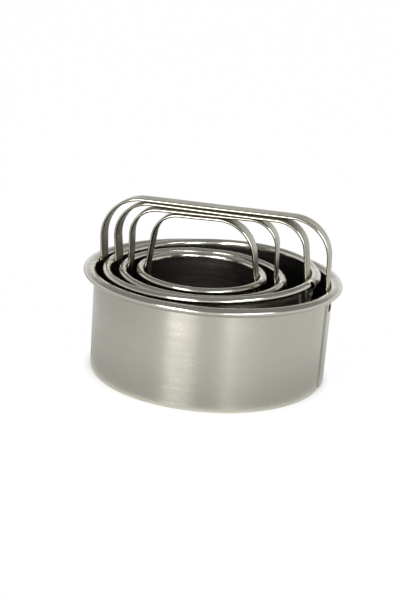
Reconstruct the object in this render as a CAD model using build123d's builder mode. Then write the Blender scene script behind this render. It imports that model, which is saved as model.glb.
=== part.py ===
"""Nest of four round biscuit cutters in stainless sheet, each a ring with a strap handle.

Units are millimetres. The origin is at the bottom centre of the largest ring, +Z is up and
+X runs along the largest handle, towards the legs where every ring has its lap seam.
"""
from build123d import *
from dataclasses import dataclass
from math import atan2, cos, degrees, radians, sin, sqrt, tan
import os

# Driving sizes of the rings
largest_wall_diameter = 76.2
second_diameter_step = 11.2
third_diameter_step = 15.2
smallest_diameter_step = 11.7
largest_ring_height = 33.3
second_ring_height = 33.2
third_ring_height = 32.3
smallest_ring_height = 32.8
sheet_thickness = 0.45
edge_bevel_height = 0.9
edge_land = 0.2

# Rolled rims: the bead is an oval tube that the sheet's top edge is curled into
largest_bead_width = 3.9
largest_bead_height = 2.6
second_bead_width = 2.7
second_bead_height = 2.5
third_bead_width = 2.6
third_bead_height = 2.5
smallest_bead_width = 2.5
smallest_bead_height = 2.4
curl_slit = 0.25
curl_slit_share = 0.35

# Lap seam at the right-hand leg: outer layer, relief notch and the socket of the bead
lap_width = 9.0
notch_width = 6.4
notch_height = 5.2
second_mouth_width = 3.9
second_mouth_height = 3.4
third_mouth_width = 3.2
third_mouth_height = 3.0
smallest_mouth_width = 2.9
smallest_mouth_height = 2.8
second_mouth_turn = -9.5
third_mouth_turn = -3.5
smallest_mouth_turn = -4.0
socket_arc = 42.0

# Strap handles of flat wire with rounded edges
strap_width = 6.2
strap_thickness = 0.95
strap_edge_share = 0.46
weld_gap = 0.05
weld_length = 14.0
weld_mark_diameter = 3.0
weld_mark_depth = 0.12
weld_mark_pitch = 5.5
leg_bend_radius = 9.0
smallest_handle_top = 50.95
handle_stack_gap = 0.2

# How each cutter stands in the nest: turn of its handle, lean, and share of the free play
second_turn = -2.0
third_turn = 3.5
smallest_turn = 1.5
second_lean = 2.8
third_lean = 1.2
smallest_lean = 1.0
second_lean_azimuth = 25.0
third_lean_azimuth = 100.0
smallest_lean_azimuth = 100.0
second_play_share = -0.45
third_play_share = -0.65
smallest_play_share = -0.15

# One overrun for every cutting solid
cut_overrun = 1.0


@dataclass
class ArchShape:
    """Bend of one strap handle; leans and slope in degrees, inward and right end up."""

    left_radius: float
    right_radius: float
    left_lean: float
    right_lean: float
    top_slope: float


@dataclass
class Cutter:
    """One cutter: sizes of its ring and the way it stands in the nest."""

    name: str
    wall_diameter: float
    ring_height: float
    bead_width: float
    bead_height: float
    mouth_width: float
    mouth_height: float
    mouth_turn: float
    turn: float
    lean: float
    lean_azimuth: float
    centre_x: float
    handle_top: float
    arch: ArchShape

    @property
    def outer_radius(self) -> float:
        """Radius of the wall's outside."""
        return self.wall_diameter / 2

    @property
    def inner_radius(self) -> float:
        """Radius of the wall's inside."""
        return self.outer_radius - sheet_thickness

    @property
    def bead_centre_height(self) -> float:
        """Height of the middle of the rolled rim above the cutting edge."""
        return self.ring_height - self.bead_height / 2

    @property
    def rim_radius(self) -> float:
        """Radius of the outside of the rolled rim."""
        return self.inner_radius + self.bead_width

    @property
    def seat(self) -> Plane:
        """Plane of the cutting edge: origin at the ring's axis, x towards the right leg."""
        raise_x = cos(radians(self.lean_azimuth))
        raise_y = sin(radians(self.lean_azimuth))
        tip = sin(radians(self.lean))
        up = Vector(-tip * raise_x, -tip * raise_y, cos(radians(self.lean)))
        leg = Vector(cos(radians(self.turn)), sin(radians(self.turn)), 0)
        leg = (leg - up * leg.dot(up)).normalized()
        foot_x = self.centre_x + self.bead_centre_height * tip * raise_x
        foot_y = self.bead_centre_height * tip * raise_y
        return Plane(origin=(foot_x, foot_y, self.outer_radius * tip), x_dir=leg, z_dir=up)


def half_free_play(outer_wall_diameter: float, inner_rim_radius: float) -> float:
    """Free play between a ring's handle leg and the rim of the ring inside it."""
    return outer_wall_diameter / 2 - sheet_thickness - strap_thickness - inner_rim_radius


def section_plane(seat: Plane, azimuth: float) -> Plane:
    """Plane through the ring's axis, x pointing outwards at the azimuth and y upwards."""
    outward = seat.x_dir * cos(radians(azimuth)) + seat.y_dir * sin(radians(azimuth))
    return Plane(origin=seat.origin, x_dir=outward, z_dir=outward.cross(seat.z_dir))


def make_ring(cutter: Cutter) -> Part:
    """Ring: bevelled wall, rolled hollow rim, lap seam with its notch and the bead's socket."""
    seat = cutter.seat
    inner = cutter.inner_radius
    outer = cutter.outer_radius
    bead_z = cutter.bead_centre_height
    half_width = cutter.bead_width / 2
    half_height = cutter.bead_height / 2
    with BuildPart() as ring:
        if cutter.mouth_width > cutter.bead_width:
            # The socket flares from the bead to its open mouth, in four oval sections
            growths = (0.0, 0.35, 0.75, 1.0)
            for wall_inset, mode in ((0.0, Mode.ADD), (sheet_thickness, Mode.SUBTRACT)):
                for index, growth in enumerate(growths):
                    reach = socket_arc * (1 - growth)
                    beyond = cut_overrun if mode == Mode.SUBTRACT and index == len(growths) - 1 else 0.0
                    azimuth = cutter.mouth_turn + reach - degrees(beyond / inner)
                    buried = sheet_thickness / 2 * (1 - growth)
                    wide = half_width - buried + (cutter.mouth_width / 2 - half_width) * growth
                    tall = half_height - buried + (cutter.mouth_height / 2 - half_height) * growth
                    middle = inner + max(wide, half_width)
                    with BuildSketch(section_plane(seat, azimuth)):
                        with Locations((middle, bead_z)):
                            Ellipse(wide - wall_inset, tall - wall_inset)
                loft(mode=mode)
        with BuildSketch(section_plane(seat, 0)) as section:
            with BuildLine():
                Polyline(
                    (inner, 0),
                    (inner + edge_land, 0),
                    (outer, edge_bevel_height),
                    (outer, bead_z),
                    (inner, bead_z),
                    close=True,
                )
            make_face()
            with Locations((inner + half_width, bead_z)):
                Ellipse(half_width, half_height)
                Ellipse(half_width - sheet_thickness, half_height - sheet_thickness, mode=Mode.SUBTRACT)
            slit_height = half_height * (1 - curl_slit_share)
            with Locations((outer, bead_z - half_height * curl_slit_share)):
                Rectangle(curl_slit, slit_height, align=(Align.MIN, Align.MAX), mode=Mode.SUBTRACT)
        revolve(axis=Axis(seat.origin, seat.z_dir))
        # Outer layer of the lap, over the wall behind the right-hand leg
        lap_half_turn = degrees(lap_width / 2 / outer)
        lap_top = bead_z - half_height - sheet_thickness
        with BuildSketch(seat.offset(edge_bevel_height)):
            Circle(outer + sheet_thickness)
            Circle(outer - sheet_thickness / 2, mode=Mode.SUBTRACT)
            reach = cutter.wall_diameter
            side = reach * tan(radians(lap_half_turn))
            with BuildLine():
                Polyline((0, 0), (reach, -side), (reach, side), close=True)
            make_face(mode=Mode.INTERSECT)
        extrude(amount=lap_top - edge_bevel_height)
        # Relief notch through both layers, just under the rim
        notch_top = bead_z - half_height
        with BuildSketch(section_plane(seat, 0).offset(-notch_width / 2)):
            with Locations((inner - cut_overrun, notch_top)):
                Rectangle(
                    2 * (sheet_thickness + cut_overrun),
                    notch_height,
                    align=(Align.MIN, Align.MAX),
                )
        extrude(amount=notch_width, mode=Mode.SUBTRACT)
    return ring


def leg_half_span(cutter: Cutter) -> float:
    """Distance from the ring's axis to the outer face of a flat leg that touches the wall."""
    reach = cutter.inner_radius - weld_gap
    return sqrt(reach**2 - (strap_width / 2) ** 2)


def make_handle(cutter: Cutter) -> Part:
    """Strap handle: flat wire bent to an arch, its two legs going down inside the wall."""
    seat = cutter.seat
    arch = cutter.arch
    half_span = leg_half_span(cutter) - strap_thickness / 2
    foot = cutter.ring_height - weld_length
    knee = cutter.ring_height
    rise = (cutter.handle_top - seat.origin.Z) / cos(radians(cutter.lean)) - strap_thickness / 2
    left = -half_span + tan(radians(arch.left_lean)) * (rise - knee)
    right = half_span - tan(radians(arch.right_lean)) * (rise - knee)
    slope = tan(radians(arch.top_slope))
    upright = section_plane(seat, 0)
    with BuildPart() as handle:
        with BuildLine(upright) as run:
            FilletPolyline(
                (-half_span, foot),
                (-half_span, knee),
                (left, rise + left * slope),
                (right, rise + right * slope),
                (half_span, knee),
                (half_span, foot),
                radius=[leg_bend_radius, arch.left_radius, arch.right_radius, leg_bend_radius],
            )
        with BuildSketch(Plane(origin=run.line @ 0, x_dir=seat.y_dir, z_dir=run.line % 0)):
            RectangleRounded(strap_width, strap_thickness, strap_thickness * strap_edge_share)
        sweep()
    return handle


largest_arch = ArchShape(13.0, 12.5, -3.0, 2.5, 0.4)
second_arch = ArchShape(11.5, 9.5, -3.0, 4.5, -2.2)
third_arch = ArchShape(8.7, 8.7, -1.0, 2.5, 0.7)
smallest_arch = ArchShape(8.5, 12.0, 8.0, 9.0, 1.2)

strap_pitch = strap_thickness + handle_stack_gap
second_wall_diameter = largest_wall_diameter - second_diameter_step
third_wall_diameter = second_wall_diameter - third_diameter_step
smallest_wall_diameter = third_wall_diameter - smallest_diameter_step

second_rim_radius = second_wall_diameter / 2 - sheet_thickness + second_bead_width
third_rim_radius = third_wall_diameter / 2 - sheet_thickness + third_bead_width
smallest_rim_radius = smallest_wall_diameter / 2 - sheet_thickness + smallest_bead_width
second_x = second_play_share * half_free_play(largest_wall_diameter, second_rim_radius)
third_x = second_x + third_play_share * half_free_play(second_wall_diameter, third_rim_radius)
smallest_x = third_x + smallest_play_share * half_free_play(third_wall_diameter, smallest_rim_radius)

cutters = [
    Cutter(
        "largest", largest_wall_diameter, largest_ring_height, largest_bead_width,
        largest_bead_height, largest_bead_width, largest_bead_height, 0.0, 0.0, 0.0, 0.0, 0.0,
        smallest_handle_top + 3 * strap_pitch, largest_arch,
    ),
    Cutter(
        "second", second_wall_diameter, second_ring_height, second_bead_width,
        second_bead_height, second_mouth_width, second_mouth_height, second_mouth_turn,
        second_turn, second_lean, second_lean_azimuth, second_x,
        smallest_handle_top + 2 * strap_pitch, second_arch,
    ),
    Cutter(
        "third", third_wall_diameter, third_ring_height, third_bead_width,
        third_bead_height, third_mouth_width, third_mouth_height, third_mouth_turn,
        third_turn, third_lean, third_lean_azimuth, third_x,
        smallest_handle_top + strap_pitch, third_arch,
    ),
    Cutter(
        "smallest", smallest_wall_diameter, smallest_ring_height, smallest_bead_width,
        smallest_bead_height, smallest_mouth_width, smallest_mouth_height, smallest_mouth_turn,
        smallest_turn, smallest_lean, smallest_lean_azimuth, smallest_x,
        smallest_handle_top, smallest_arch,
    ),
]

os.makedirs("parts", exist_ok=True)
for cutter in cutters:
    ring = make_ring(cutter)
    ring.part.label = cutter.name + "_ring"
    export_step(ring.part, "parts/" + ring.part.label + ".step")
    handle = make_handle(cutter)
    handle.part.label = cutter.name + "_handle"
    export_step(handle.part, "parts/" + handle.part.label + ".step")
    print(cutter.name, "ring", round(cutter.wall_diameter, 2), "rim radius", round(cutter.rim_radius, 2),
          "centre x", round(cutter.centre_x, 2))
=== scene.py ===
"""Looks of a nest of four stainless biscuit cutters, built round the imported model.

Every cutter is a ring of sheet steel with a rolled rim, a lap seam and a strap handle whose two
legs are spot-welded inside the wall. Sizes are in metres and angles in degrees. The row frame has
its origin at the bottom centre of the largest ring, +Z up and +X along the largest handle.
"""

import logging
import math
from dataclasses import dataclass, field, fields
from enum import Enum

import bpy
import numpy as np
from mathutils import Matrix, Vector


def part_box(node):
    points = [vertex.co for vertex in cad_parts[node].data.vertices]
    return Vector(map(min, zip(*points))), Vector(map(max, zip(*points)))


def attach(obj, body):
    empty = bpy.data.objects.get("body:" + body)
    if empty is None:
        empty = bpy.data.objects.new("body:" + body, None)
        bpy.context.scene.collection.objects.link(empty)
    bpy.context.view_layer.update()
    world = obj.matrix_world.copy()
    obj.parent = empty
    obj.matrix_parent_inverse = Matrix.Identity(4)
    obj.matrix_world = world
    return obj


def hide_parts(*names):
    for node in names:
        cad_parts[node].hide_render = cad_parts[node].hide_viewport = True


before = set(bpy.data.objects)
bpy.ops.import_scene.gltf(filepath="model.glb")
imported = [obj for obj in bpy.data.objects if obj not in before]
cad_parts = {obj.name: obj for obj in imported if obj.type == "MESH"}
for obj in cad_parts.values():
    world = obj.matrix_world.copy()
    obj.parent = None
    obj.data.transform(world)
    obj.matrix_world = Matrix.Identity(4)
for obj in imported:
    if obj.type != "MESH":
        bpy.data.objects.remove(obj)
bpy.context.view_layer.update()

logging.basicConfig(level=logging.INFO, format="%(message)s")
log = logging.getLogger("biscuit_cutters")

FULL_TURN = 2 * math.pi
# Corners of a grid's cell: steps up the rows and along the columns from its own point
CELL_CORNERS = ((0, 0), (0, 1), (1, 1), (1, 0))


class Finish(Enum):
    """Finishes of the sheet, each a material slot of a ring's mesh."""

    WALL = 0
    RIM = 1
    # The inside's material carries a darker colour that is painted shade
    INSIDE = 2


# Surface helpers


def smooth_step(value: np.ndarray) -> np.ndarray:
    """Soft step from 0 to 1: three times the square less twice the cube of the clipped value.

    Args:
        value: Position along the step, clipped to 0 and 1.

    Returns:
        The height of the step at each position.
    """
    clipped = np.clip(value, 0.0, 1.0)
    return clipped * clipped * (3.0 - 2.0 * clipped)


def ripple(angle: np.ndarray, waves: np.ndarray, phases: np.ndarray) -> np.ndarray:
    """Uneven swing round a circle: the mean of one cosine for each wave count.

    Args:
        angle: Angles in radians.
        waves: Whole numbers of waves round the circle.
        phases: One phase in radians for each wave count.

    Returns:
        Values between -1 and 1, of the shape of the angles.
    """
    swing = np.cos(angle[..., None] * waves + phases)
    return swing.mean(axis=-1)


def ellipse(centre_r: float, centre_z: float, half_r: np.ndarray, half_z: np.ndarray,
            angle: np.ndarray) -> tuple[np.ndarray, np.ndarray]:
    """Oval section of a rolled rim: centre plus half size times cosine and sine of the angle.

    Args:
        centre_r: Distance of the oval's centre from the ring's axis.
        centre_z: Height of the oval's centre.
        half_r: Half of the oval's width.
        half_z: Half of the oval's height.
        angle: Angles in radians, zero pointing outwards.

    Returns:
        Distances from the axis and heights.
    """
    return centre_r + half_r * np.cos(angle), centre_z + half_z * np.sin(angle)


def cell_corners(cells: tuple[int, int], points: tuple[int, int], along: np.ndarray,
                 across: np.ndarray) -> tuple[np.ndarray, np.ndarray]:
    """Point numbers and surface distances at the four corners of each cell of a grid.

    A corner is the cell's own point or the next one up, along or both. Past the last row or
    column the point numbers start again, and the distances go on.

    Args:
        cells: Rows and columns of cells.
        points: Rows and columns of points.
        along: Surface distance along the rows' direction at each corner of the cells.
        across: Surface distance up the columns at each corner of the cells.

    Returns:
        Four point numbers and four pairs of distances for each cell.
    """
    row, column = np.indices(cells)
    rows, columns = points
    numbers = [(row + up) % rows * columns + (column + right) % columns
               for up, right in CELL_CORNERS]
    places = [np.stack((along[row + up, column + right], across[row + up, column + right]), -1)
              for up, right in CELL_CORNERS]
    return np.stack(numbers, axis=-1), np.stack(places, axis=2)


@dataclass
class SheetMesh:
    """Closed shells of sheet metal that are written into one mesh."""

    points: list[np.ndarray] = field(default_factory=list)
    faces: list[np.ndarray] = field(default_factory=list)
    coordinates: list[np.ndarray] = field(default_factory=list)
    finishes: list[np.ndarray] = field(default_factory=list)
    polish: list[np.ndarray] = field(default_factory=list)
    count: int = 0

    def add_sheet(self, outside: np.ndarray, inside: np.ndarray, keep: np.ndarray,
                  along: np.ndarray, across: np.ndarray, outside_finish: np.ndarray,
                  inside_finish: np.ndarray, wrap_rows: bool = False,
                  wrap_columns: bool = False) -> None:
        """Adds two skins and the edge faces that join them round every border and hole.

        The outside skin's faces run along the columns and then up the rows, the inside skin's
        the other way round, and each border edge of a kept cell gets one face between the skins.

        Args:
            outside: Grid of points, rows by columns by three.
            inside: Grid of points of the same shape.
            keep: Cells that exist, one for each gap between rows and between columns.
            along: Surface distance along the rows' direction, with one more column if it wraps.
            across: Surface distance up the columns, with one more row if it wraps.
            outside_finish: Material number of each row of cells outside.
            inside_finish: Material number of each row of cells inside.
            wrap_rows: Whether the last row is joined to the first.
            wrap_columns: Whether the last column is joined to the first.
        """
        rows, columns = outside.shape[:2]
        corners, places = cell_corners(keep.shape, (rows, columns), along, across)
        other = rows * columns
        quads = [corners[keep], (corners[..., ::-1] + other)[keep]]
        coords = [places[keep], places[..., ::-1, :][keep]]
        outer_finish = np.broadcast_to(outside_finish[:, None], keep.shape)
        inner_finish = np.broadcast_to(inside_finish[:, None], keep.shape)
        marks = [outer_finish[keep], inner_finish[keep]]
        # Sides of a cell: two corners, then the axis and step to it from the cell beyond
        sides = ((0, 1, 0, 1, wrap_rows), (2, 3, 0, -1, wrap_rows),
                 (3, 0, 1, 1, wrap_columns), (1, 2, 1, -1, wrap_columns))
        for first, second, axis, step, wraps in sides:
            beyond = np.roll(keep, step, axis=axis)
            if not wraps:
                np.moveaxis(beyond, axis, 0)[0 if step == 1 else -1] = False
            border = keep & ~beyond
            start, end = corners[..., first][border], corners[..., second][border]
            quads.append(np.stack((end, start, start + other, end + other), -1))
            ends = places[..., second, :][border], places[..., first, :][border]
            coords.append(np.stack((ends[0], ends[1], ends[1], ends[0]), 1))
            marks.append(inner_finish[border])
        skins = np.concatenate((outside.reshape(-1, 3), inside.reshape(-1, 3)))
        self._store(skins, np.concatenate(quads), np.concatenate(coords), np.concatenate(marks),
                    np.zeros(len(skins)))

    def add_bar(self, surface: np.ndarray, along: np.ndarray, across: np.ndarray,
                polish: np.ndarray, inner: np.ndarray) -> None:
        """Adds a solid bar: one closed section carried along a path, with a face at each end.

        Args:
            surface: Grid of points, stations by section points by three.
            along: Surface distance along the bar at each station.
            across: Surface distance round the section, with its closing value added.
            polish: How far each section point is on the bright rounded edge, from 0 to 1.
            inner: Which faces round the section have the second material.
        """
        stations, around = surface.shape[:2]
        along_grid, across_grid = np.meshgrid(along, across, indexing="ij")
        corners, places = cell_corners((stations - 1, around), (stations, around),
                                       along_grid, across_grid)
        # The two ends are closed by strips that join mirrored points of the section
        low = np.arange(around // 2 - 1)
        high = around - 1 - low
        end_strips = np.stack((low, high, high - 1, low + 1), -1)
        last_strips = end_strips[:, ::-1] + (stations - 1) * around
        faces = np.concatenate((corners.reshape(-1, 4), end_strips, last_strips))
        end_places = np.zeros((2 * len(low), 4, 2))
        marks = np.append(np.tile(inner, stations - 1), np.zeros(2 * len(low), bool))
        self._store(surface.reshape(-1, 3), faces,
                    np.concatenate((places.reshape(-1, 4, 2), end_places)),
                    marks.astype(int), np.tile(polish, stations))

    def _store(self, points: np.ndarray, faces: np.ndarray, coordinates: np.ndarray,
               finishes: np.ndarray, polish: np.ndarray) -> None:
        """Keeps the points that faces use and numbers them on from those stored before.

        Args:
            points: Points, one row each.
            faces: Four point numbers for each face.
            coordinates: Surface distances at the corners of each face.
            finishes: Material number of each face.
            polish: How far each point is on a bright rounded edge, from 0 to 1.
        """
        used, renumbered = np.unique(faces, return_inverse=True)
        self.points.append(points[used])
        self.faces.append(renumbered.reshape(faces.shape) + self.count)
        self.coordinates.append(coordinates)
        self.finishes.append(finishes)
        self.polish.append(polish[used])
        self.count += len(used)

    def write(self, name: str, materials: list[bpy.types.Material],
              sharp_angle: float) -> bpy.types.Object:
        """Makes the object, with its surface distances as a UV map and smooth shading.

        Args:
            name: Name of the object and its mesh.
            materials: Materials in the order of the finish numbers.
            sharp_angle: Angle in degrees from which an edge stays sharp.

        Returns:
            The new object, at the origin.
        """
        points = np.concatenate(self.points)
        faces = np.concatenate(self.faces)
        mesh = bpy.data.meshes.new(name)
        mesh.vertices.add(len(points))
        mesh.vertices.foreach_set("co", points.astype(np.float32).ravel())
        mesh.loops.add(faces.size)
        mesh.loops.foreach_set("vertex_index", faces.astype(np.int32).ravel())
        mesh.polygons.add(len(faces))
        mesh.polygons.foreach_set("loop_start", np.arange(0, faces.size, 4, dtype=np.int32))
        finishes = np.concatenate(self.finishes).astype(np.int32)
        mesh.polygons.foreach_set("material_index", finishes)
        mesh.update(calc_edges=True)
        surface = mesh.uv_layers.new(name="surface")
        coordinates = np.concatenate(self.coordinates).astype(np.float32)
        surface.uv.foreach_set("vector", coordinates.ravel())
        edge_polish = mesh.attributes.new("edge_polish", "FLOAT", "POINT")
        edge_polish.data.foreach_set("value", np.concatenate(self.polish).astype(np.float32))
        mesh.polygons.foreach_set("use_smooth", np.ones(len(faces), dtype=bool))
        mesh.set_sharp_from_angle(angle=math.radians(sharp_angle))
        for material in materials:
            mesh.materials.append(material)
        mesh.validate()
        piece = bpy.data.objects.new(name, mesh)
        bpy.context.scene.collection.objects.link(piece)
        return piece


# Place of a cutter in the nest


@dataclass(frozen=True)
class Stance:
    """How one cutter stands: turn of its handle, lean, and place of its axis."""

    turn: float = 0.0
    lean: float = 0.0
    raised_azimuth: float = 0.0
    centre_x: float = 0.0

    def axes(self, outer_radius: float, rim_height: float) -> tuple[np.ndarray, np.ndarray]:
        """Origin and axes of the cutting edge's plane, x towards the right-hand leg.

        The up axis tips by the lean away from the raised side, and the origin lies so that the
        middle of the rim stays over the place of the axis and the lowest point of the cutting
        edge stays on the table.

        Args:
            outer_radius: Radius of the wall's outside.
            rim_height: Height of the rim's middle above the cutting edge.

        Returns:
            The origin, and the x, y and up axes as the rows of a matrix.
        """
        lean, raised_azimuth, turn = map(math.radians, (self.lean, self.raised_azimuth, self.turn))
        tip = math.sin(lean)
        raised = np.array((math.cos(raised_azimuth), math.sin(raised_azimuth), 0.0))
        up = -tip * raised + np.array((0.0, 0.0, math.cos(lean)))
        leg = np.array((math.cos(turn), math.sin(turn), 0.0))
        leg = leg - up * leg.dot(up)
        leg = leg / np.linalg.norm(leg)
        origin = raised * rim_height * tip + np.array((self.centre_x, 0.0, outer_radius * tip))
        return origin, np.stack((leg, np.cross(up, leg), up))


# Rings


@dataclass(frozen=True)
class Rim:
    """Rolled rim: an oval hollow bead whose curl ends just off the wall."""

    width: float
    height: float
    curl_end: float = -131.0
    arc_steps: int = 46
    dent_depth: float = 0.00003


@dataclass(frozen=True)
class Socket:
    """Flared end of the rim that takes the other end in: open mouth and length of arc."""

    width: float
    height: float
    turn: float
    arc: float = 42.0
    stations: int = 48
    around: int = 56


@dataclass(frozen=True)
class Lap:
    """Lap seam behind the right-hand leg: outer layer, how far it fades out, relief notch."""

    width: float = 0.009
    fade: float = 0.006
    notch_width: float = 0.0064
    notch_height: float = 0.0052
    notch_corner: float = 0.0011
    side_steps: int = 6
    fade_steps: int = 12
    least_half_notch_steps: int = 4


@dataclass(frozen=True)
class WeldMarks:
    """Pairs of shallow round spot-weld marks over each leg."""

    diameter: float = 0.003
    depth: float = 0.00012
    pitch: float = 0.0055
    lowest_below_rim: float = 0.0112
    number: int = 2
    flat_share: float = 0.55
    slope_share: float = 0.5

    def dish(self, across: np.ndarray, along: np.ndarray) -> np.ndarray:
        """Depth of one mark: full in its middle, with a soft step up to the sheet at its edge.

        Args:
            across: Distances from the mark's centre across the leg.
            along: Distances from the mark's centre along the leg.

        Returns:
            Depths below the sheet's face.
        """
        off = np.hypot(across, along) / (self.diameter / 2)
        return self.depth * (1.0 - smooth_step((off - self.flat_share) / self.slope_share))


@dataclass
class Ring:
    """Ring of one cutter: bevelled wall with its rolled rim, lap layer and flared socket."""

    name: str
    wall_diameter: float
    height: float
    rim: Rim
    socket: Socket | None
    stance: Stance
    seed: int
    columns: int
    sheet: float = 0.00045
    bevel_height: float = 0.0009
    edge_land: float = 0.0002
    lap: Lap = Lap()
    marks: WeldMarks = WeldMarks()
    out_of_round: float = 0.00004
    wall_waves: tuple[float, ...] = (2.0, 3.0, 5.0, 7.0)
    dent_waves: tuple[float, ...] = (9.0, 14.0, 23.0, 31.0, 47.0)
    wall_steps: int = 34
    notch_steps: int = 8
    hidden_steps: int = 3
    sharp_angle: float = 38.0

    @property
    def outer(self) -> float:
        """Radius of the wall's outside."""
        return self.wall_diameter / 2

    @property
    def inner(self) -> float:
        """Radius of the wall's inside."""
        return self.outer - self.sheet

    @property
    def rim_middle(self) -> float:
        """Height of the rim's middle above the cutting edge."""
        return self.height - self.rim.height / 2

    @property
    def rim_underside(self) -> float:
        """Height of the rim's underside, where the notch ends."""
        return self.rim_middle - self.rim.height / 2

    def place(self, radius: np.ndarray, azimuth: np.ndarray, height: np.ndarray) -> np.ndarray:
        """Points of the row frame from distance off the axis, azimuth and height.

        Args:
            radius: Distances from the ring's axis.
            azimuth: Azimuths in radians from the right-hand leg.
            height: Heights above the cutting edge.

        Returns:
            Origin plus radius times the azimuth's direction plus height times the up axis.
        """
        origin, axes = self.stance.axes(self.outer, self.rim_middle)
        across = (radius * np.cos(azimuth))[..., None]
        beside = (radius * np.sin(azimuth))[..., None]
        return origin + across * axes[0] + beside * axes[1] + height[..., None] * axes[2]

    def swing(self, azimuth: np.ndarray) -> np.ndarray:
        """How far a slight lack of roundness moves the wall: inwards only, by uneven waves.

        Args:
            azimuth: Azimuths in radians.

        Returns:
            Distances, zero or negative.
        """
        draw = np.random.default_rng(self.seed)
        waves = np.array(self.wall_waves)
        phases = draw.uniform(0.0, FULL_TURN, waves.size)
        return self.out_of_round * (ripple(azimuth, waves, phases) - 1.0)

    def dents(self, azimuth: np.ndarray) -> np.ndarray:
        """How much thinner the roller left the bead in places: never thicker, by short waves.

        Args:
            azimuth: Azimuths in radians.

        Returns:
            Changes of the bead's half sizes, zero or negative.
        """
        draw = np.random.default_rng(self.seed + 1)
        waves = np.array(self.dent_waves)
        phases = draw.uniform(0.0, FULL_TURN, waves.size)
        return self.rim.dent_depth * (ripple(azimuth, waves, phases) - 1.0)

    def mark_depth(self, azimuth: np.ndarray, height: np.ndarray) -> np.ndarray:
        """Depth of the weld marks over both legs: the deepest dish at each place.

        Args:
            azimuth: Azimuths in radians.
            height: Heights above the cutting edge.

        Returns:
            Depths below the wall's outside.
        """
        depth = np.zeros(np.broadcast(azimuth, height).shape)
        for leg in (0.0, math.pi):
            apart = np.angle(np.exp(1j * (azimuth - leg))) * self.outer
            for number in range(self.marks.number):
                middle = self.height - self.marks.lowest_below_rim + number * self.marks.pitch
                depth = np.maximum(depth, self.marks.dish(apart, height - middle))
        return depth

    def wall_heights(self) -> np.ndarray:
        """Heights of the wall's rows, in step with the notch's lower and upper edge.

        Returns:
            Heights from the bevel's top to the rim's middle.
        """
        notch_top = self.rim_underside
        notch_foot = notch_top - self.lap.notch_height
        return np.concatenate((
            np.linspace(self.bevel_height, notch_foot, self.wall_steps, endpoint=False),
            np.linspace(notch_foot, notch_top, self.notch_steps, endpoint=False),
            np.linspace(notch_top, self.rim_middle, self.hidden_steps),
        ))

    def notch_azimuths(self) -> tuple[float, int]:
        """Works out how far round the ring the notch reaches.

        Returns:
            Half angle of the notch in radians, and the number of columns across it.
        """
        half = self.lap.notch_width / 2 / self.outer
        half_steps = round(half / FULL_TURN * self.columns)
        return half, 2 * max(self.lap.least_half_notch_steps, half_steps)

    def round_notch(self, azimuth: np.ndarray, height: np.ndarray) -> tuple[np.ndarray, np.ndarray]:
        """Moves the points on the notch's outline near its corners on to quarter circles.

        A point at a distance from the corner along its side goes to the same share of the
        quarter circle that rounds the corner.

        Args:
            azimuth: Azimuths in radians of a grid that has the notch's edges as grid lines.
            height: Heights of the same grid.

        Returns:
            The azimuths and heights with the outline's corners rounded.
        """
        half_width = self.lap.notch_width / 2
        half_height = self.lap.notch_height / 2
        middle = self.rim_underside - half_height
        corner = self.lap.notch_corner
        side = np.angle(np.exp(1j * azimuth)) * self.outer
        rise = height - middle
        hair = corner / 1000
        from_side = half_width - np.abs(side)
        from_end = half_height - np.abs(rise)
        on_side = (np.abs(from_side) < hair) & (from_end >= -hair) & (from_end < corner)
        on_end = (np.abs(from_end) < hair) & (from_side >= -hair) & (from_side < corner)
        diagonal = math.pi / 4
        turn = np.where(on_side, diagonal * (1 - from_end / corner),
                        2 * diagonal - diagonal * (1 - from_side / corner))
        new_side = np.sign(side) * (half_width - corner + corner * np.cos(turn))
        new_rise = np.sign(rise) * (half_height - corner + corner * np.sin(turn))
        moved = on_side | on_end
        return (np.where(moved, azimuth + (new_side - side) / self.outer, azimuth),
                np.where(moved, middle + new_rise, height))

    def add_wall(self, mesh: SheetMesh) -> None:
        """Adds the sheet: up the wall, over the bead and round to the end of its curl.

        Both skins have the same rows: the cutting edge, the wall's heights, then the oval's
        angles from the wall over the top. The wall's outside runs on inside the bead.

        Args:
            mesh: Mesh that the sheet is added to.
        """
        half, across_notch = self.notch_azimuths()
        azimuth = np.concatenate((
            np.linspace(-half, half, across_notch, endpoint=False),
            np.linspace(half, FULL_TURN - half, self.columns - across_notch, endpoint=False),
        ))
        heights = self.wall_heights()
        curl = np.radians(np.linspace(180.0, self.rim.curl_end, self.rim.arc_steps + 1))[1:]
        rows = 1 + len(heights) + len(curl)
        azimuth_grid = np.broadcast_to(azimuth, (rows, len(azimuth)))
        swing = self.swing(azimuth)
        dents = self.dents(azimuth)
        half_width = self.rim.width / 2
        half_height = self.rim.height / 2
        centre = self.inner + half_width
        bead_r, bead_z = ellipse(centre, self.rim_middle, half_width + dents, half_height + dents,
                                 curl[:, None])
        hollow_r, hollow_z = ellipse(centre, self.rim_middle, half_width - self.sheet,
                                     half_height - self.sheet, curl[:, None] + 0 * azimuth)
        wall_z = np.broadcast_to(heights[:, None], (len(heights), len(azimuth)))
        marked = self.outer - self.mark_depth(azimuth, wall_z)
        foot = np.zeros((1, len(azimuth)))
        inside_wall = foot + self.inner + 0 * wall_z
        outside_r = np.concatenate((foot + self.inner + self.edge_land, marked, hollow_r)) + swing
        inside_r = np.concatenate((foot + self.inner, inside_wall, bead_r)) + swing
        outside_z = np.concatenate((foot, wall_z, hollow_z))
        inside_z = np.concatenate((foot, wall_z, bead_z))
        rounded, outside_z = self.round_notch(azimuth_grid, outside_z)
        _, inside_z = self.round_notch(azimuth_grid, inside_z)
        keep = np.ones((rows - 1, len(azimuth)), bool)
        first = 1 + self.wall_steps
        keep[first:first + self.notch_steps, :across_notch] = False
        row_lengths = np.hypot(np.diff(inside_r[:, 0]), np.diff(inside_z[:, 0]))
        up_rows = np.cumsum(np.append(0.0, row_lengths))
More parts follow.
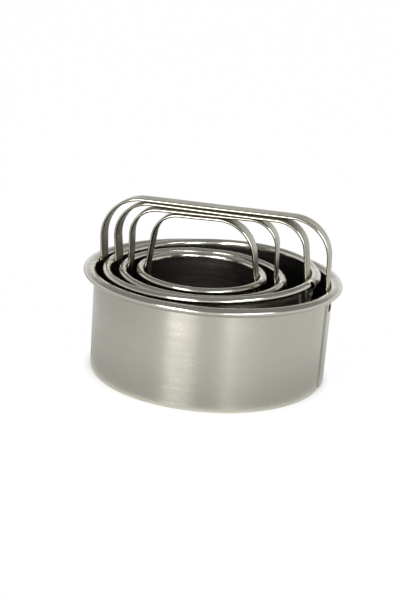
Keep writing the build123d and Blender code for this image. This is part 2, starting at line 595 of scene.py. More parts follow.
        across = up_rows[:, None] + np.zeros(len(azimuth) + 1)
        closed_round = np.append(azimuth, azimuth[0] + FULL_TURN)
        along = np.broadcast_to(closed_round * self.outer, across.shape)
        wall_rows = len(heights)
        outside_finish = np.full(rows - 1, Finish.WALL.value)
        outside_finish[wall_rows:] = Finish.INSIDE.value
        inside_finish = np.full(rows - 1, Finish.INSIDE.value)
        inside_finish[wall_rows - 1:] = Finish.RIM.value
        mesh.add_sheet(self.place(outside_r, rounded, outside_z),
                       self.place(inside_r, rounded, inside_z),
                       keep, along, across, outside_finish, inside_finish, wrap_columns=True)

    def add_lap(self, mesh: SheetMesh) -> None:
        """Adds the lap's outer layer: it ends sharply on the near side and fades on the far side.

        Its outside lies one sheet out from the wall, drawn in by a soft step over the fade, and
        its inside lies half a sheet inside the wall.

        Args:
            mesh: Mesh that the layer is added to.
        """
        half, across_notch = self.notch_azimuths()
        edge = self.lap.width / 2 / self.outer
        far = edge + self.lap.fade / self.outer
        side_steps = self.lap.side_steps
        azimuth = np.concatenate((
            np.linspace(-edge, -half, side_steps, endpoint=False),
            np.linspace(-half, half, across_notch, endpoint=False),
            np.linspace(half, edge, side_steps, endpoint=False),
            np.linspace(edge, far, self.lap.fade_steps),
        ))
        heights = self.wall_heights()
        top = self.rim_underside - self.sheet
        notch_foot = self.rim_underside - self.lap.notch_height
        heights = np.concatenate((heights[heights < notch_foot - self.sheet],
                                  np.linspace(notch_foot, top, self.notch_steps + 1)))
        rows = len(heights)
        grid = np.broadcast_to(azimuth, (rows, len(azimuth)))
        height_grid = np.broadcast_to(heights[:, None], grid.shape)
        fall = smooth_step((azimuth - edge) / (far - edge))
        lift = self.sheet * (1.0 - fall) - self.out_of_round * fall
        swing = self.swing(azimuth)
        outside_r = self.outer + lift - self.mark_depth(azimuth, height_grid) + swing
        inside_r = np.broadcast_to(self.outer - self.sheet / 2 + swing, outside_r.shape)
        keep = np.ones((rows - 1, len(azimuth) - 1), bool)
        keep[rows - 1 - self.notch_steps:, side_steps:side_steps + across_notch] = False
        rounded, rounded_z = self.round_notch(grid, height_grid)
        along = grid * self.outer
        finish = np.full(rows - 1, Finish.WALL.value)
        mesh.add_sheet(self.place(outside_r, rounded, rounded_z),
                       self.place(inside_r, rounded, rounded_z),
                       keep, along, height_grid, finish, finish)

    def add_socket(self, mesh: SheetMesh) -> None:
        """Adds the flared end of the rim, an oval tube that widens evenly up to its open mouth.

        Each half size grows from the bead's own, half a sheet inside it, to the mouth's.

        Args:
            mesh: Mesh that the socket is added to.
        """
        socket = self.socket
        growth = np.linspace(1.0, 0.0, socket.stations)
        azimuth = np.radians(socket.turn + socket.arc * (1.0 - growth))
        angle = np.linspace(0.0, FULL_TURN, socket.around, endpoint=False)[:, None]
        buried = self.sheet / 2 * (1.0 - growth)
        dents = self.dents(azimuth)
        wider = (socket.width - self.rim.width) / 2
        taller = (socket.height - self.rim.height) / 2
        half_width = self.rim.width / 2 - buried + wider * growth + dents
        half_height = self.rim.height / 2 - buried + taller * growth + dents
        centre = self.inner + np.maximum(half_width, self.rim.width / 2)
        grid = np.broadcast_to(azimuth, (socket.around, socket.stations))
        swing = self.swing(azimuth)
        skins = []
        for inset in (0.0, self.sheet):
            radius, height = ellipse(centre, self.rim_middle, half_width - inset,
                                     half_height - inset, angle)
            skins.append(self.place(radius + swing, grid, height))
        keep = np.ones((socket.around, socket.stations - 1), bool)
        girth = math.pi * (socket.width + socket.height) / 2
        across = np.linspace(0.0, girth, socket.around + 1)[:, None] + np.zeros(socket.stations)
        along = np.broadcast_to(azimuth * self.outer, across.shape)
        outside_finish = np.full(socket.around, Finish.RIM.value)
        inside_finish = np.full(socket.around, Finish.INSIDE.value)
        mesh.add_sheet(*skins, keep, along, across, outside_finish, inside_finish, wrap_rows=True)

    def build(self, materials: list[bpy.types.Material]) -> bpy.types.Object:
        """Builds the ring's mesh with all its shells.

        Args:
            materials: Materials of the wall, the rim and the inside, in that order.

        Returns:
            The ring's object.
        """
        mesh = SheetMesh()
        self.add_wall(mesh)
        self.add_lap(mesh)
        if self.socket is not None:
            self.add_socket(mesh)
        return mesh.write(self.name, materials, self.sharp_angle)


# Strap handles


@dataclass(frozen=True)
class Arch:
    """Bend of one strap handle: corner radii, inward leans and the top's slope."""

    left_radius: float
    right_radius: float
    left_lean: float
    right_lean: float
    top_slope: float


@dataclass
class StrapHandle:
    """Handle of one cutter: flat wire bent to an arch, with its legs inside the wall."""

    name: str
    ring: Ring
    top: float
    arch: Arch
    seed: int
    width: float = 0.0062
    thickness: float = 0.00095
    edge_share: float = 0.46
    weld_gap: float = 0.00005
    weld_length: float = 0.014
    knee_radius: float = 0.009
    station_step: float = 0.00035
    corner_points: int = 9
    face_points: int = 13
    crown: float = 0.00003
    bow_waves: tuple[float, ...] = (2.0, 3.0, 5.0)
    marks: WeldMarks = WeldMarks()
    sharp_angle: float = 50.0

    def corners(self) -> tuple[np.ndarray, np.ndarray]:
        """Corners of the bent path in the handle's own plane, and the radius at each bend.

        Returns:
            Six corners from the left foot over the top to the right foot, and four radii.
        """
        ring = self.ring
        reach = ring.inner - self.weld_gap
        half_span = math.sqrt(reach**2 - (self.width / 2) ** 2) - self.thickness / 2
        origin, _ = ring.stance.axes(ring.outer, ring.rim_middle)
        lean = math.cos(math.radians(ring.stance.lean))
        rise = (self.top - origin[2]) / lean - self.thickness / 2
        knee = ring.height
        foot = ring.height - self.weld_length
        left = -half_span + math.tan(math.radians(self.arch.left_lean)) * (rise - knee)
        right = half_span - math.tan(math.radians(self.arch.right_lean)) * (rise - knee)
        slope = math.tan(math.radians(self.arch.top_slope))
        points = np.array(((-half_span, foot), (-half_span, knee), (left, rise + left * slope),
                           (right, rise + right * slope), (half_span, knee), (half_span, foot)))
        radii = np.array((self.knee_radius, self.arch.left_radius, self.arch.right_radius,
                          self.knee_radius))
        return points, radii

    def path(self) -> tuple[np.ndarray, np.ndarray, np.ndarray]:
        """Evenly spaced stations along the bent path.

        The direction turns steadily along each bend and stays along each run, so a station's
        direction is looked up by its distance, and its place on a bend is the bend's centre plus
        its radius square to the direction.

        Returns:
            Places, unit directions and distances along the path.
        """
        points, radii = self.corners()
        runs = np.diff(points, axis=0)
        lengths = np.linalg.norm(runs, axis=1)
        units = runs / lengths[:, None]
        headings = np.unwrap(np.arctan2(units[:, 1], units[:, 0]))
        turns = np.diff(headings)
        cuts = radii * np.abs(np.tan(turns / 2))
        straight = lengths - np.append(cuts, 0.0) - np.append(0.0, cuts)
        arcs = radii * np.abs(turns)
        stretches = np.stack((straight, np.append(arcs, 0.0)), 1).ravel()
        knots = np.append(0.0, np.cumsum(stretches))[:-1]
        knot_headings = np.repeat(headings, 2)
        total = knots[-1]
        distance = np.linspace(0.0, total, round(total / self.station_step) + 1)
        heading = np.interp(distance, knots, knot_headings)
        # Each run's share of the path is placed exactly, and each bend about its own centre
        piece = np.clip(np.searchsorted(knots, distance, side="right") - 1, 0, len(knots) - 2)
        run = piece // 2
        starts = points[:-1] + units * np.append(0.0, cuts)[:, None]
        on_run = starts[run] + units[run] * (distance - knots[piece])[:, None]
        bend = np.minimum(run, len(radii) - 1)
        side = np.sign(turns)[bend]
        ends = points[1:-1] - units[:-1] * cuts[:, None]
        normal = np.stack((-units[:-1, 1], units[:-1, 0]), 1)
        centres = ends + normal * (radii * np.sign(turns))[:, None]
        square = np.stack((np.sin(heading), -np.cos(heading)), 1)
        on_bend = centres[bend] + square * (radii[bend] * side)[:, None]
        places = np.where((piece % 2 == 1)[:, None], on_bend, on_run)
        return places, np.stack((np.cos(heading), np.sin(heading)), 1), distance

    def section(self) -> tuple[np.ndarray, np.ndarray, np.ndarray]:
        """Flat section with rounded edges: straight faces, slightly crowned, and corner arcs.

        Returns:
            Offsets across the width, offsets through the thickness, and how far each point is
            on the rounded edge.
        """
        radius = self.thickness * self.edge_share
        half_width = self.width / 2 - radius
        half_thick = self.thickness / 2 - radius
        arc = np.radians(np.linspace(0.0, 90.0, self.corner_points))
        flat = np.linspace(half_width, -half_width, self.face_points + 2)[1:-1]
        quarter_w = half_width + radius * np.cos(arc)
        quarter_t = half_thick + radius * np.sin(arc)
        upper_w = np.concatenate((quarter_w, flat, -quarter_w[::-1]))
        flat_t = np.full(len(flat), self.thickness / 2)
        upper_t = np.concatenate((quarter_t, flat_t, quarter_t[::-1]))
        upper_t = upper_t - self.crown * (upper_w / half_width) ** 2 * (upper_t > half_thick)
        across = np.concatenate((upper_w, upper_w[::-1]))
        through = np.concatenate((upper_t, -upper_t[::-1]))
        polish = smooth_step((np.abs(across) - half_width + radius / 4) / radius)
        return across, through, polish

    def build(self, materials: list[bpy.types.Material]) -> bpy.types.Object:
        """Builds the handle: the section carried along the path, with the weld marks pressed in.

        A point is the path's place plus its offset through the thickness times the path's normal
        plus its offset across the width times the ring's y axis.

        Args:
            materials: Materials of the strap and of its inner face, in that order.

        Returns:
            The handle's object.
        """
        places, directions, distance = self.path()
        across, through, polish = self.section()
        origin, axes = self.ring.stance.axes(self.ring.outer, self.ring.rim_middle)
        normal = np.stack((-directions[:, 1], directions[:, 0]), 1)
        foot_distance = np.minimum(distance, distance[-1] - distance)
        first_mark = self.weld_length - self.marks.lowest_below_rim
        dish = np.zeros((len(distance), len(across)))
        for number in range(self.marks.number):
            middle = first_mark + number * self.marks.pitch
            dish = np.maximum(dish, self.marks.dish(across, foot_distance[:, None] - middle))
        draw = np.random.default_rng(self.seed)
        waves = np.array(self.bow_waves)
        phases = draw.uniform(0.0, FULL_TURN, waves.size)
        bow = self.crown * (ripple(distance / distance[-1] * FULL_TURN, waves, phases) - 1.0)
        free = smooth_step((foot_distance - self.weld_length) / self.weld_length)
        inward = through < 0
        offset = through + (bow * free)[:, None] + dish * inward
        flat = places[:, None, :] + offset[..., None] * normal[:, None, :]
        points = (origin + flat[..., :1] * axes[0] + flat[..., 1:] * axes[2]
                  + across[None, :, None] * axes[1])
        steps_round = np.hypot(np.diff(across, append=across[0]),
                               np.diff(through, append=through[0]))
        girth = np.append(0.0, np.cumsum(steps_round))
        mesh = SheetMesh()
        mesh.add_bar(points, distance, girth, polish, inward)
        return mesh.write(self.name, materials, self.sharp_angle)


# Materials

Colour = tuple[float, float, float, float]
Source = bpy.types.NodeSocket | Colour | float


@dataclass
class NodeBench:
    """Adds nodes to one node tree and joins their sockets."""

    tree: bpy.types.NodeTree

    def node(self, kind: str, **settings: object) -> bpy.types.Node:
        """Adds a node.

        Args:
            kind: Blender's name for the kind of node.
            settings: Properties of the node and their values.

        Returns:
            The new node.
        """
        node = self.tree.nodes.new(kind)
        for name, value in settings.items():
            setattr(node, name, value)
        return node

    def feed(self, node: bpy.types.Node, **sources: Source) -> None:
        """Sets or joins inputs of a node.

        Args:
            node: Node whose inputs are fed.
            sources: For each input a socket to join, or a constant value. An input goes by its
                name, with underscores for spaces, or by its number after the letter i.
        """
        for name, source in sources.items():
            numbered = name[0] == "i" and name[1:].isdigit()
            key = int(name[1:]) if numbered else name.replace("_", " ")
            if isinstance(source, bpy.types.NodeSocket):
                self.tree.links.new(source, node.inputs[key])
            else:
                node.inputs[key].default_value = source

    def math(self, operation: str, first: Source, second: Source) -> bpy.types.NodeSocket:
        """Adds a Math node.

        Args:
            operation: Blender's name for the operation.
            first: First socket or number.
            second: Second socket or number.

        Returns:
            The result's socket.
        """
        node = self.node("ShaderNodeMath", operation=operation)
        self.feed(node, i0=first, i1=second)
        return node.outputs[0]

    def span(self, value: Source, low: float, high: float, to_low: Source = 0.0,
             to_high: Source = 1.0) -> bpy.types.NodeSocket:
        """Adds a soft step: a Map Range node that eases from one level to another.

        Args:
            value: Socket that the step runs along.
            low: Value at which the step starts.
            high: Value at which the step ends.
            to_low: Level before the step.
            to_high: Level after the step.

        Returns:
            The level's socket.
        """
        node = self.node("ShaderNodeMapRange", interpolation_type="SMOOTHSTEP")
        self.feed(node, Value=value, From_Min=low, From_Max=high, To_Min=to_low, To_Max=to_high)
        return node.outputs["Result"]

    def tint(self, share: Source, first: Source, second: Source) -> bpy.types.NodeSocket:
        """Adds a mix of two colours.

        Args:
            share: Share of the second colour.
            first: First colour.
            second: Second colour.

        Returns:
            The mixed colour's socket.
        """
        node = self.node("ShaderNodeMix", data_type="RGBA", blend_type="MIX")
        # By number, because a Mix node has inputs of the same name for each kind of data
        self.feed(node, i0=share, i6=first, i7=second)
        return node.outputs[2]


class Effects:
    """Node groups that more than one finish uses, each made once."""

    # Pitch of the fine and the coarse grain, and their shares of the height
    GRAIN = ((1.0, 0.55), (0.22, 0.45))
    STREAK_STEP = (0.32, 0.7)
    # Where handling clouds start and end, and how the finer noise thins them
    CLOUD_STEP = (0.38, 0.68)
    THINNING_STEP = (0.25, 0.75, 0.45, 1.0)
    FINE_CLOUDS = 7.0

    def __init__(self) -> None:
        """Makes the groups for drawn grain, handling marks and pits."""
        self.grain = self._grain()
        self.handling = self._handling()
        self.pits = self._pits()

    @staticmethod
    def _group(name: str, vector: str, numbers: dict[str, float], outputs: tuple[str, ...]
               ) -> tuple[bpy.types.NodeTree, NodeBench, bpy.types.Node, bpy.types.Node]:
        """Starts a shader node group.

        Args:
            name: Name of the group.
            vector: Name of its vector input.
            numbers: Usual value of each number input.
            outputs: Names of the value outputs.

        Returns:
            The group, its bench, and its input and output nodes.
        """
        group = bpy.data.node_groups.new(name, "ShaderNodeTree")
        sockets = group.interface
        sockets.new_socket(name=vector, in_out="INPUT", socket_type="NodeSocketVector")
        for label, usual in numbers.items():
            socket = sockets.new_socket(name=label, in_out="INPUT", socket_type="NodeSocketFloat")
            socket.default_value = usual
        for label in outputs:
            sockets.new_socket(name=label, in_out="OUTPUT", socket_type="NodeSocketFloat")
        bench = NodeBench(group)
        return group, bench, bench.node("NodeGroupInput"), bench.node("NodeGroupOutput")

    def _grain(self) -> bpy.types.NodeTree:
        """Drawn grain: noise stretched along the surface's first direction, in two pitches.

        Returns:
            The group, which gives the grain's height and a mask of its coarser streaks.
        """
        group, bench, given, result = self._group(
            "drawn_grain", "Surface", {"Along": 60.0, "Across": 6000.0}, ("Height", "Streaks"))
        parts = bench.node("ShaderNodeSeparateXYZ")
        bench.feed(parts, Vector=given.outputs["Surface"])
        along = bench.math("MULTIPLY", parts.outputs["X"], given.outputs["Along"])
        across = bench.math("MULTIPLY", parts.outputs["Y"], given.outputs["Across"])
        noises, heights = [], []
        for pitch, share in self.GRAIN:
            stretched = bench.node("ShaderNodeCombineXYZ")
            bench.feed(stretched, X=bench.math("MULTIPLY", along, pitch),
                       Y=bench.math("MULTIPLY", across, pitch))
            noise = bench.node("ShaderNodeTexNoise", noise_dimensions="2D")
            bench.feed(noise, Vector=stretched.outputs[0], Scale=1.0, Detail=3.0, Roughness=0.6)
            noises.append(noise.outputs[0])
            heights.append(bench.math("MULTIPLY", noise.outputs[0], share))
        bench.feed(result, Height=bench.math("ADD", *heights),
                   Streaks=bench.span(noises[-1], *self.STREAK_STEP))
        return group

    def _handling(self) -> bpy.types.NodeTree:
        """Faint cloudy marks of handling: two sizes of soft noise multiplied.

        Returns:
            The group, which gives a mask of the marks.
        """
        group, bench, given, result = self._group(
            "handling_marks", "Place", {"Size": 90.0}, ("Mask",))
        coarse = bench.node("ShaderNodeTexNoise")
        bench.feed(coarse, Vector=given.outputs["Place"], Scale=given.outputs["Size"],
                   Detail=4.0, Roughness=0.62)
        fine = bench.node("ShaderNodeTexNoise")
        bench.feed(fine, Vector=given.outputs["Place"], Detail=5.0, Roughness=0.7,
                   Scale=bench.math("MULTIPLY", given.outputs["Size"], self.FINE_CLOUDS))
        clouds = bench.span(coarse.outputs[0], *self.CLOUD_STEP)
        thinning = bench.span(fine.outputs[0], *self.THINNING_STEP)
        bench.feed(result, Mask=bench.math("MULTIPLY", clouds, thinning))
        return group

    def _pits(self) -> bpy.types.NodeTree:
        """Sparse small pits: dots at the centres of those cells whose random value is high.

        Returns:
            The group, which gives a mask of the pits.
        """
        group, bench, given, result = self._group(
            "small_pits", "Place", {"Density": 420.0, "Rarity": 0.9, "Radius": 0.14}, ("Mask",))
        cells = bench.node("ShaderNodeTexVoronoi", feature="F1")
        bench.feed(cells, Vector=given.outputs["Place"], Scale=given.outputs["Density"])
        chance = bench.node("ShaderNodeSeparateColor")
        bench.feed(chance, Color=cells.outputs["Color"])
        rare = bench.math("GREATER_THAN", chance.outputs[0], given.outputs["Rarity"])
        size = bench.math("MULTIPLY", given.outputs["Radius"], chance.outputs[1])
        near = bench.math("LESS_THAN", cells.outputs["Distance"], size)
        bench.feed(result, Mask=bench.math("MULTIPLY", rare, near))
        return group


@dataclass(frozen=True)
class SteelFinish:
    """One finish of stainless steel: colour, gloss, and the strength of its effects."""

    name: str
    colour: Colour
    stain: Colour
    roughness: float
    grain_along: float
    grain_across: float
    grain_height: float
    grain_roughness: float
    handling: float
    waves: float
    wave_size: float
    anisotropy: float = 0.0
    highlight_turn: float = 0.25
    handling_size: float = 90.0
    pits: float = 0.0
    bright_edges: bool = False
    line_darkening: float = 1.6
    smudge_roughness: float = 0.35
    pit_depth: float = 0.00002
    burnish: float = 0.38

    def make(self, effects: Effects) -> bpy.types.Material:
        """Makes the material.

        Args:
            effects: Node groups shared by the finishes.

        Returns:
            The material of this finish.
        """
        material = bpy.data.materials.new(self.name)
        material.use_nodes = True
        bench = NodeBench(material.node_tree)
        steel = material.node_tree.nodes["Principled BSDF"]
        places = bench.node("ShaderNodeTexCoord")
        place = places.outputs["Object"]
        grain = bench.node("ShaderNodeGroup", node_tree=effects.grain)
        bench.feed(grain, Surface=places.outputs["UV"], Along=self.grain_along,
                   Across=self.grain_across)
        marks = bench.node("ShaderNodeGroup", node_tree=effects.handling)
        bench.feed(marks, Place=place, Size=self.handling_size)
        dots = bench.node("ShaderNodeGroup", node_tree=effects.pits)
        bench.feed(dots, Place=place)
        flat = 1.0
        if self.bright_edges:
            edge = bench.node("ShaderNodeAttribute", attribute_name="edge_polish")
            flat = bench.math("SUBTRACT", 1.0, edge.outputs["Fac"])
        smudge = bench.math("MULTIPLY", marks.outputs["Mask"], self.handling)
        pitted = bench.math("MULTIPLY", dots.outputs["Mask"], self.pits)
        streaks = bench.math("MULTIPLY", grain.outputs["Streaks"], self.grain_roughness)
        lines = bench.math("MULTIPLY", streaks, flat)
        # Colour: stained where there are lines, smudges or pits
        dark_lines = bench.math("MULTIPLY", lines, self.line_darkening)
        marked = bench.math("ADD", dark_lines, bench.math("ADD", smudge, pitted))
        shade = bench.math("MINIMUM", marked, 1.0)
        # Gloss: duller where there are lines or smudges
        dulled = bench.math("ADD", bench.math("MULTIPLY", smudge, self.smudge_roughness), lines)
        roughness = bench.math("ADD", dulled, self._base_roughness(bench, flat))
        bench.feed(steel, Base_Color=bench.tint(shade, self.colour, self.stain),
                   Roughness=roughness, Metallic=1.0, Anisotropic=self.anisotropy,
                   Anisotropic_Rotation=self.highlight_turn)
        relief = self._relief(bench, place, bench.math("MULTIPLY", grain.outputs["Height"], flat),
                              pitted)
        bench.feed(steel, Normal=relief)
        if self.anisotropy > 0:
            lay = bench.node("ShaderNodeTangent", direction_type="UV_MAP", uv_map="surface")
            bench.feed(steel, Tangent=lay.outputs[0])
        return material

    def _relief(self, bench: NodeBench, place: Source, grain: Source,
                pitted: Source) -> bpy.types.NodeSocket:
        """Adds the fine relief: the grain and slow waves stand up, and pits go down.

        Args:
            bench: Bench of the material.
            place: Object coordinates.
            grain: Height of the grain, from 0 to 1.
            pitted: Mask of the pits.

        Returns:
            The normal's socket.
        """
        swell = bench.node("ShaderNodeTexNoise")
        bench.feed(swell, Vector=place, Scale=self.wave_size, Detail=1.0)
        height = bench.math("ADD", bench.math("MULTIPLY", grain, self.grain_height),
                            bench.math("MULTIPLY", swell.outputs[0], self.waves))
        height = bench.math("SUBTRACT", height, bench.math("MULTIPLY", pitted, self.pit_depth))
        bump = bench.node("ShaderNodeBump")
        bench.feed(bump, Strength=1.0, Distance=1.0, Height=height)
        return bump.outputs[0]

    def _base_roughness(self, bench: NodeBench, flat: Source) -> Source:
        """Roughness of the flat, and a smaller share of it on burnished edges.

        Args:
            bench: Bench of the material.
            flat: How far the surface is from a burnished edge, from 0 to 1.

        Returns:
            A number where the edges are as the flat, or else a socket.
        """
        if not self.bright_edges:
            return self.roughness
        share = bench.math("MULTIPLY", flat, 1.0 - self.burnish)
        return bench.math("MULTIPLY", bench.math("ADD", share, self.burnish), self.roughness)


@dataclass(frozen=True)
class Finishes:
    """The five finishes of the nest."""

    wall: SteelFinish = SteelFinish(
        "satin_wall", (0.56, 0.545, 0.475, 1.0), (0.42, 0.405, 0.34, 1.0), 0.22, anisotropy=0.85,
        grain_along=40.0, grain_across=5200.0, grain_height=8e-8, grain_roughness=0.03,
        handling=0.12, pits=0.08, waves=1e-6, wave_size=60.0,
    )
    rim: SteelFinish = SteelFinish(
        "satin_rim", (0.59, 0.575, 0.51, 1.0), (0.40, 0.39, 0.34, 1.0), 0.13,
        grain_along=120.0, grain_across=7000.0, grain_height=4e-7, grain_roughness=0.03,
        handling=0.12, handling_size=180.0, pits=0.3, waves=8e-6, wave_size=220.0,
    )
    # Darker colour than the wall, though it is the same sheet: painted shade for the bore, the
    # bead's hollow and the socket's inside
    inside: SteelFinish = SteelFinish(
        "painted_shade_inside", (0.34, 0.325, 0.30, 1.0), (0.29, 0.275, 0.25, 1.0), 0.20,
        grain_along=90.0, grain_across=5200.0, grain_height=6e-7, grain_roughness=0.05,
        handling=0.08, waves=2e-6, wave_size=80.0,
    )
    strap: SteelFinish = SteelFinish(
        "brushed_strap", (0.52, 0.50, 0.42, 1.0), (0.30, 0.28, 0.21, 1.0), 0.30, anisotropy=0.5,
        grain_along=110.0, grain_across=6500.0, grain_height=2.5e-6, grain_roughness=0.12,
        handling=0.18, handling_size=140.0, pits=0.3, waves=4e-6, wave_size=200.0,
        bright_edges=True,
    )
    # Darker colour than the strap, though it is the same wire: painted shade on the face that turns
    # in under the arch and against the wall
    strap_inside: SteelFinish = SteelFinish(
        "painted_shade_strap_inside", (0.24, 0.215, 0.17, 1.0), (0.16, 0.14, 0.11, 1.0), 0.30,
        anisotropy=0.5, grain_along=110.0, grain_across=6500.0, grain_height=2.5e-6,
        grain_roughness=0.10, handling=0.18, handling_size=140.0, waves=4e-6, wave_size=200.0,
        bright_edges=True,
    )


# Cutters


@dataclass
class Cutter:
    """One cutter of the nest: its ring and its handle, on the body that they move with."""

    label: str
    ring: Ring
    handle: StrapHandle

    def build(self, finishes: dict[str, bpy.types.Material]) -> None:
        """Builds both pieces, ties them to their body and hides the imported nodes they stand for.

        Args:
            finishes: Materials by the name of their place.
        """
        body = f"{self.label}_cutter"
        ring = self.ring.build([finishes["wall"], finishes["rim"], finishes["inside"]])
        handle = self.handle.build([finishes["strap"], finishes["strap_inside"]])
        for piece, node, slot in ((ring, "ring", "ring_steel"), (handle, "handle", "handle_steel")):
            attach(piece, body)
            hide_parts(f"{self.label}_{node}")
            corners = np.array([corner[:] for corner in piece.bound_box])
            own_box = np.array((corners.min(0), corners.max(0)))
            gap = np.abs(own_box - np.array(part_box(f"{self.label}_{node}"))).max()
            log.info("%s: %d faces, %.2f mm from its node's box", piece.name,
                     len(piece.data.polygons), gap * 1000)


def make_cutters() -> list[Cutter]:
    """Sets the sizes of the four cutters, largest first.

    Returns:
        The cutters, each with its ring and handle.
    """
    smallest_top = 0.05095
    strap_gap = 0.0002
    first_handle_seed = 60
    labels = ("largest", "second", "third", "smallest")
    rings = (
        Ring("largest_ring_steel", wall_diameter=0.0762, height=0.0333,
             rim=Rim(width=0.0039, height=0.0026), socket=None, stance=Stance(),
             seed=11, columns=448),
        Ring("second_ring_steel", wall_diameter=0.0650, height=0.0332,
             rim=Rim(width=0.0027, height=0.0025),
             socket=Socket(width=0.0039, height=0.0034, turn=-9.5),
             stance=Stance(turn=-2.0, lean=2.8, raised_azimuth=25.0, centre_x=-0.00088),
             seed=22, columns=416),
        Ring("third_ring_steel", wall_diameter=0.0498, height=0.0323,
             rim=Rim(width=0.0026, height=0.0025),
             socket=Socket(width=0.0032, height=0.0030, turn=-3.5),
             stance=Stance(turn=3.5, lean=1.2, raised_azimuth=100.0, centre_x=-0.00351),
             seed=33, columns=384),
        Ring("smallest_ring_steel", wall_diameter=0.0381, height=0.0328,
             rim=Rim(width=0.0025, height=0.0024),
             socket=Socket(width=0.0029, height=0.0028, turn=-4.0),
             stance=Stance(turn=1.5, lean=1.0, raised_azimuth=100.0, centre_x=-0.00387),
             seed=44, columns=320),
    )
    arches = (
        Arch(left_radius=0.0130, right_radius=0.0125, left_lean=-3.0, right_lean=2.5,
             top_slope=0.4),
        Arch(left_radius=0.0115, right_radius=0.0095, left_lean=-3.0, right_lean=4.5,
             top_slope=-2.2),
        Arch(left_radius=0.0087, right_radius=0.0087, left_lean=-1.0, right_lean=2.5,
             top_slope=0.7),
        Arch(left_radius=0.0085, right_radius=0.0120, left_lean=8.0, right_lean=9.0,
             top_slope=1.2),
    )
    cutters = []
    for number, (label, ring, arch) in enumerate(zip(labels, rings, arches)):
        top = smallest_top + (len(rings) - 1 - number) * (StrapHandle.thickness + strap_gap)
        handle = StrapHandle(f"{label}_handle_strap", ring, top, arch, first_handle_seed + number)
        cutters.append(Cutter(label, ring, handle))
    return cutters


# Studio and camera


@dataclass(frozen=True)
class SoftBox:
    """Rectangular soft lamp that stands upright on the floor and faces the nest."""

    name: str
    heading: float
    width: float
    radiance: float
    colour: tuple[float, float, float]
    distance: float = 0.6
    height: float = 0.62

    def build(self) -> None:
        """Makes the lamp at its distance, turned to the nest's upright axis."""
        lamp = bpy.data.lights.new(self.name, "AREA")
        lamp.shape = "RECTANGLE"
        lamp.size = self.width
        lamp.size_y = self.height
        lamp.energy = self.radiance * math.pi * self.width * self.height
        lamp.color = self.colour
        stand = bpy.data.objects.new(self.name, lamp)
        heading = math.radians(self.heading)
        away = Vector((math.cos(heading), math.sin(heading), 0.0)) * self.distance
        stand.location = away + Vector((0.0, 0.0, self.height / 2))
        stand.rotation_mode = "QUATERNION"
        stand.rotation_quaternion = (-away).to_track_quat("-Z", "Z")
        bpy.context.scene.collection.objects.link(stand)


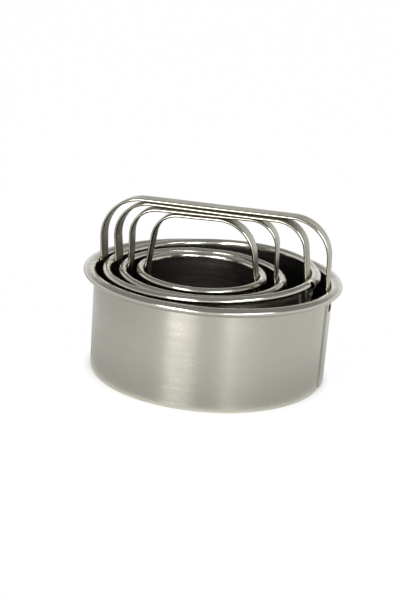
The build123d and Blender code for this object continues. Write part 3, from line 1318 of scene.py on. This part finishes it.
@dataclass(frozen=True)
class Studio:
    """Plain white studio: pale floor, soft lamps, and a backdrop that darkens overhead.

    The floor's own colour shows near the nest and white further out, from one radius on for the
    camera and from another for rays that metal mirrors. Those see a painted level below white,
    darker towards the left, with a painted shadow near the nest's foot.
    """

    floor_half: float = 12.0
    floor_colour: Colour = (0.86, 0.86, 0.86, 1.0)
    floor_white_share: float = 0.99
    mirrored_floor: tuple[float, float] = (0.56, 0.78)
    mirrored_fall: tuple[float, float] = (-0.14, -0.04)
    mirrored_foot_shadow: tuple[float, float] = (0.04, 0.085)
    foot_shadow_share: float = 0.68
    seen_radii: tuple[float, float] = (0.0365, 0.041)
    mirrored_radii: tuple[float, float] = (0.0385, 0.042)
    ambient: float = 0.75
    overhead: float = 0.30
    backdrop_rise: tuple[float, float] = (0.12, 0.62)
    boxes: tuple[SoftBox, ...] = (
        SoftBox("soft_box_left", -107.5, 0.29, 5.6, (1.0, 0.985, 0.98)),
        SoftBox("soft_box_right", -43.5, 0.21, 6.0, (0.95, 0.985, 1.0)),
    )

    def build(self) -> None:
        """Makes the floor, the world and the lamps."""
        self._floor()
        self._world()
        for box in self.boxes:
            box.build()
        bpy.context.scene.view_settings.view_transform = "Standard"
        log.info("studio: floor, backdrop and %d lamps", len(self.boxes))

    def _floor(self) -> None:
        """Makes the floor, white away from the nest and shaded by it underneath."""
        half = self.floor_half
        mesh = bpy.data.meshes.new("floor")
        mesh.from_pydata([(-half, -half, 0.0), (half, -half, 0.0), (half, half, 0.0),
                          (-half, half, 0.0)], [], [(0, 1, 2, 3)])
        floor = bpy.data.objects.new("floor", mesh)
        bpy.context.scene.collection.objects.link(floor)
        floor.data.materials.append(self._floor_paper())

    def _floor_paper(self) -> bpy.types.Material:
        """Makes the floor's material: matt paper mixed with white by the ray's kind and reach.

        Returns:
            The material.
        """
        material = bpy.data.materials.new("floor_white")
        material.use_nodes = True
        material.node_tree.nodes.clear()
        bench = NodeBench(material.node_tree)
        paper = bench.node("ShaderNodeBsdfDiffuse")
        bench.feed(paper, Color=self.floor_colour)
        white = bench.node("ShaderNodeEmission")
        rays = bench.node("ShaderNodeLightPath")
        seen = rays.outputs["Is Camera Ray"]
        mirrored = bench.math("MAXIMUM", rays.outputs["Is Glossy Ray"],
                              rays.outputs["Is Transmission Ray"])
        places = bench.node("ShaderNodeTexCoord")
        parts = bench.node("ShaderNodeSeparateXYZ")
        bench.feed(parts, Vector=places.outputs["Object"])
        reach = bench.node("ShaderNodeVectorMath", operation="LENGTH")
        bench.feed(reach, i0=places.outputs["Object"])
        radius = reach.outputs["Value"]
        across = bench.span(parts.outputs["X"], *self.mirrored_fall, *self.mirrored_floor)
        # Painted shadow round the nest's foot, seen only by mirrored rays
        dimmed = bench.math("MULTIPLY", across,
                            bench.span(radius, *self.mirrored_foot_shadow, self.foot_shadow_share, 1.0))
        # Camera rays see plain white, mirrored rays the dimmed level: painted shade towards the
        # left and a painted shadow near the nest's foot
        strength = bench.math("ADD", seen, bench.math("MULTIPLY", mirrored, dimmed))
        bench.feed(white, Color=(1.0, 1.0, 1.0, 1.0), Strength=strength)
        seen_white = bench.math("MULTIPLY", seen, bench.span(radius, *self.seen_radii))
        mirrored_white = bench.math("MULTIPLY", mirrored,
                                    bench.span(radius, *self.mirrored_radii))
        lifted = bench.math("ADD", seen_white, mirrored_white)
        share = bench.math("MULTIPLY", lifted, self.floor_white_share)
        mix = bench.node("ShaderNodeMixShader")
        bench.feed(mix, i0=share, i1=paper.outputs[0], i2=white.outputs[0])
        result = bench.node("ShaderNodeOutputMaterial")
        bench.feed(result, Surface=mix.outputs[0])
        return material

    def _world(self) -> None:
        """Makes the world: plain light for matt surfaces, and the backdrop that rays see."""
        world = bpy.data.worlds.new("studio")
        bpy.context.scene.world = world
        world.use_nodes = True
        world.node_tree.nodes.clear()
        bench = NodeBench(world.node_tree)
        places = bench.node("ShaderNodeTexCoord")
        parts = bench.node("ShaderNodeSeparateXYZ")
        bench.feed(parts, Vector=places.outputs["Generated"])
        level = bench.span(parts.outputs["Z"], *self.backdrop_rise, 1.0, self.overhead)
        grey = bench.node("ShaderNodeCombineColor")
        bench.feed(grey, Red=level, Green=level, Blue=level)
        rays = bench.node("ShaderNodeLightPath")
        mirrored = bench.math("MAXIMUM", rays.outputs["Is Glossy Ray"],
                              rays.outputs["Is Transmission Ray"])
        seen = bench.math("MAXIMUM", rays.outputs["Is Camera Ray"], mirrored)
        mixed = bench.tint(seen, (self.ambient, self.ambient, self.ambient, 1.0), grey.outputs[0])
        light = bench.node("ShaderNodeBackground")
        bench.feed(light, Color=mixed, Strength=1.0)
        result = bench.node("ShaderNodeOutputWorld")
        bench.feed(result, Surface=light.outputs[0])


@dataclass(frozen=True)
class Viewpoint:
    """Camera at the photograph's viewing angle."""

    place: tuple[float, float, float] = (0.07362, -0.33208, 0.12956)
    heading: float = 13.08
    pitch: float = -17.43
    roll: float = 4.33
    lens_mm: float = 65.94
    sensor_mm: float = 36.0
    nearest: float = 0.01

    def build(self) -> None:
        """Makes the camera: turned by its heading, pitched, then rolled about its view axis."""
        camera = bpy.data.cameras.new("viewpoint")
        camera.lens = self.lens_mm
        camera.sensor_width = self.sensor_mm
        camera.clip_start = self.nearest
        stand = bpy.data.objects.new("viewpoint", camera)
        turned = Matrix.Rotation(math.radians(self.heading), 4, "Z")
        pitched = Matrix.Rotation(math.radians(90.0 + self.pitch), 4, "X")
        rolled = Matrix.Rotation(math.radians(self.roll), 4, "Z")
        stand.matrix_world = Matrix.Translation(self.place) @ turned @ pitched @ rolled
        bpy.context.scene.collection.objects.link(stand)
        bpy.context.scene.camera = stand


def main() -> None:
    """Builds the camera, the studio and the four cutters."""
    Viewpoint().build()
    Studio().build()
    effects = Effects()
    steel = Finishes()
    finishes = {place.name: getattr(steel, place.name).make(effects) for place in fields(steel)}
    for cutter in make_cutters():
        cutter.build(finishes)


if __name__ == "__main__":
    main()
